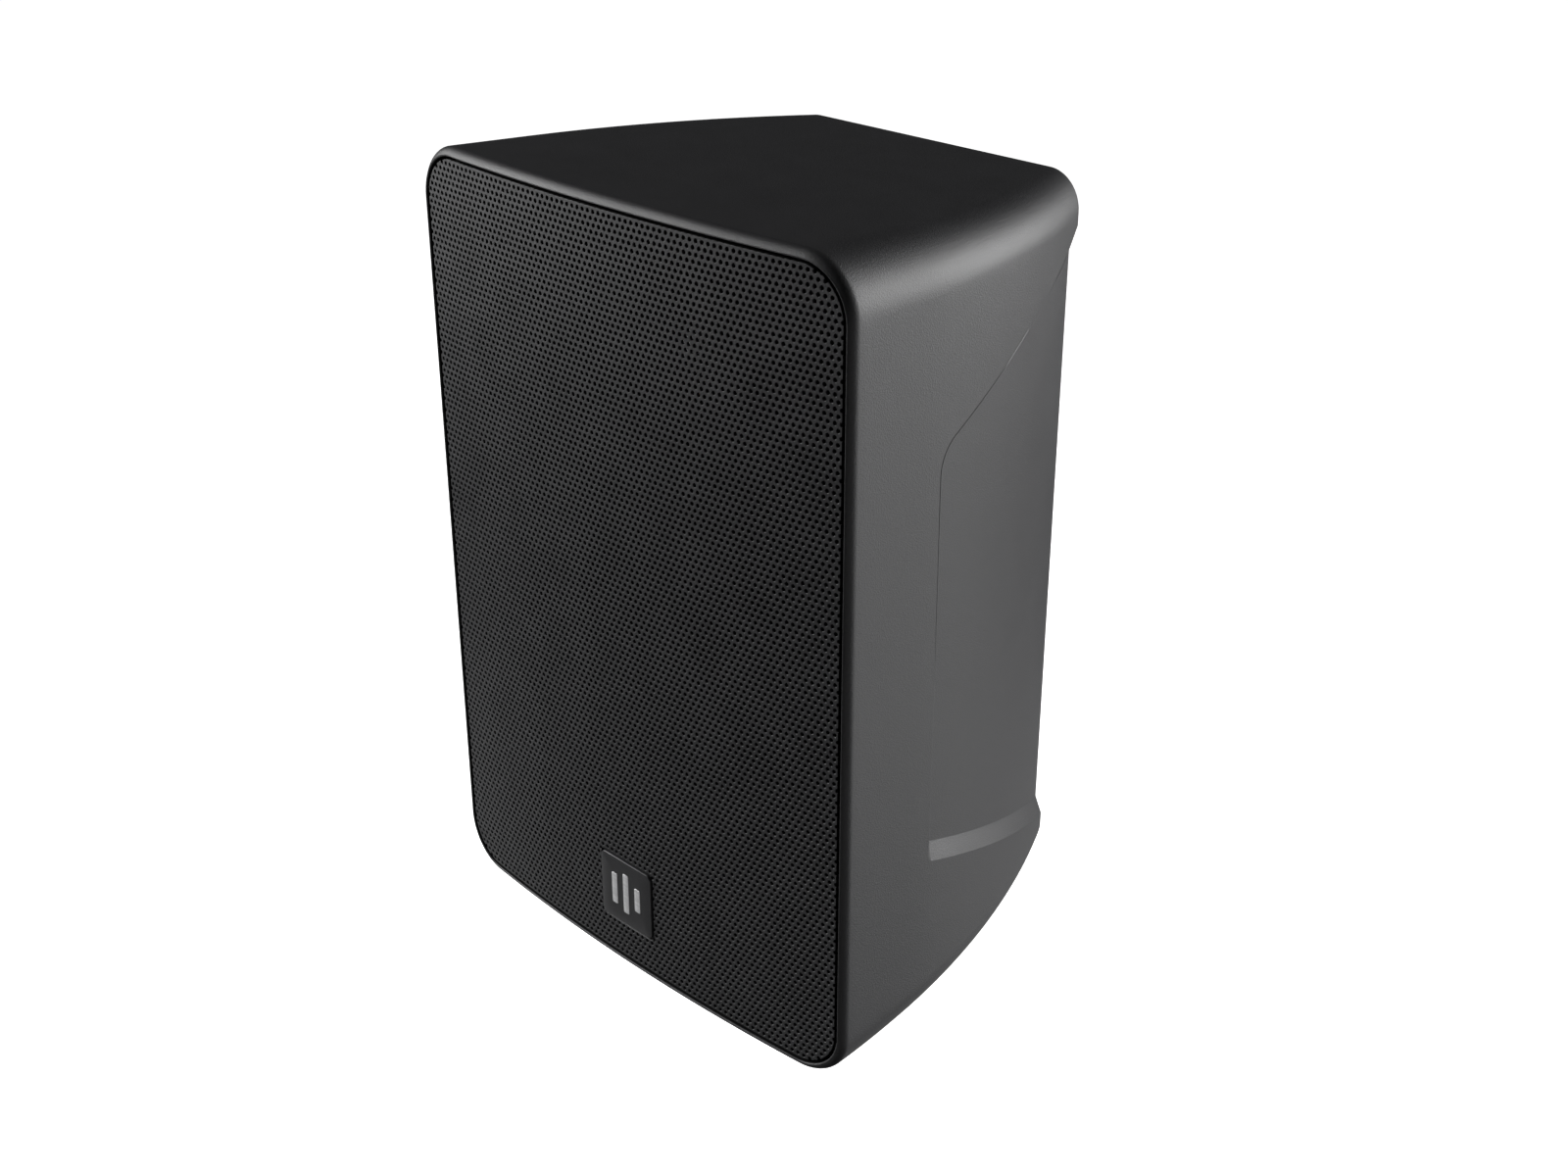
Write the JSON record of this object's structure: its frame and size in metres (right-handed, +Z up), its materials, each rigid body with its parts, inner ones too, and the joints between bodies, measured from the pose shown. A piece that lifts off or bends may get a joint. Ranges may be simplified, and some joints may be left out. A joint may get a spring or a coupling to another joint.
{
  "type": "bookshelf loudspeaker",
  "caption": "Compact two-way loudspeaker with a moulded black cabinet that tapers to the back, a bowed perforated grille, a horn-loaded tweeter, a small woofer and rear terminals.",
  "frame": {"origin": "midway between the two threaded inserts, on the flat back face, half way up the cabinet's front", "axes": "+Z is up, the front faces -Y, +X is to the right as the front is seen, and +Y points out of the back into the wall"},
  "size_m": [0.2, 0.1488, 0.28],
  "materials": {
    "shell_plastic": "fine grained",
    "inner_plastic": "satin",
    "control_plastic": "satin",
    "red_plastic": "semi-gloss",
    "black_plastic": "semi-gloss",
    "grille_steel": "fine powder coat",
    "foam": "matte",
    "rubber": "matte",
    "badge_lacquer": "gloss",
    "badge_silver": "satin",
    "screw_zinc": "zinc plated",
    "screw_black": "blackened",
    "basket_steel": "satin",
    "cone_paper": "treated fibre",
    "dome_metal": "satin",
    "spider_cloth": "woven",
    "former": "matte",
    "copper": "enamelled wire",
    "ferrite": "matte",
    "plated_steel": "zinc plated",
    "laminate": "solder mask",
    "film_yellow": "gloss",
    "resistor_ceramic": "matte",
    "brass": "turned"
  },
  "bodies": {
    "cabinet": {"rear_shell": "shell_plastic", "front_baffle": "inner_plastic", "baffle_gasket": "foam", "baffle_screws": "screw_zinc", "grille_foam_strip": "foam", "woofer_basket": "basket_steel", "woofer_gasket": "foam", "woofer_surround": "rubber", "woofer_spider": "spider_cloth", "woofer_top_plate": "plated_steel", "woofer_magnet": "ferrite", "woofer_yoke": "plated_steel", "woofer_tag_strip": "laminate", "woofer_screws": "screw_black", "tweeter_plate": "inner_plastic", "tweeter_surround": "rubber", "tweeter_top_plate": "plated_steel", "tweeter_magnet": "ferrite", "tweeter_yoke": "plated_steel", "tweeter_screws": "screw_black", "crossover_board": "laminate", "woofer_choke": "copper", "tweeter_choke": "copper", "capacitors": "film_yellow", "resistors": "resistor_ceramic", "board_standoffs": "brass", "board_screws": "screw_zinc", "transformer_core": "plated_steel", "transformer_coil": "film_yellow", "transformer_bracket": "plated_steel", "transformer_screws": "screw_zinc", "terminal_cup": "control_plastic", "cup_gasket": "foam", "cup_screws": "screw_black", "terminal_block": "control_plastic", "selector_switch": "control_plastic", "mount_inserts": "brass"},
    "woofer_diaphragm": {"woofer_cone": "cone_paper", "woofer_dust_cap": "cone_paper", "woofer_coil_former": "former", "woofer_coil_winding": "copper"},
    "tweeter_diaphragm": {"tweeter_dome": "dome_metal", "tweeter_coil": "copper"},
    "grille_panel": {"grille": "grille_steel", "badge_plate": "badge_lacquer", "badge_mark": "badge_silver"},
    "selector": {"selector_knob": "control_plastic"},
    "lever_red": {"terminal_lever_red": "red_plastic"},
    "lever_black": {"terminal_lever_black": "black_plastic"}
  },
  "joints": [
    {"name": "woofer_travel", "type": "slide", "parent": "cabinet", "child": "woofer_diaphragm", "axis": [0, -1, 0], "range_m": [-0.004, 0.004], "stiffness_N_per_m": 1200, "deforming": ["woofer_surround", "woofer_spider"]},
    {"name": "tweeter_travel", "type": "slide", "parent": "cabinet", "child": "tweeter_diaphragm", "axis": [0, -1, 0], "range_m": [-0.0004, 0.0004], "stiffness_N_per_m": 2000, "deforming": ["tweeter_surround"]},
    {"name": "grille_pull", "type": "slide", "parent": "cabinet", "child": "grille_panel", "axis": [0, -1, 0], "range_m": [0, 0.06]},
    {"name": "selector_turn", "type": "hinge", "parent": "cabinet", "child": "selector", "pos_m": [0.016, 0, -0.085], "axis": [0, 1, 0], "range_deg": [0, 150]},
    {"name": "lever_red_press", "type": "hinge", "parent": "cabinet", "child": "lever_red", "pos_m": [-0.023, -0.0215, -0.079], "axis": [-1, 0, 0], "range_deg": [0, 25], "stiffness_Nm_per_rad": 0.15},
    {"name": "lever_black_press", "type": "hinge", "parent": "cabinet", "child": "lever_black", "pos_m": [-0.009, -0.0215, -0.079], "axis": [-1, 0, 0], "range_deg": [0, 25], "stiffness_Nm_per_rad": 0.15}
  ]
}
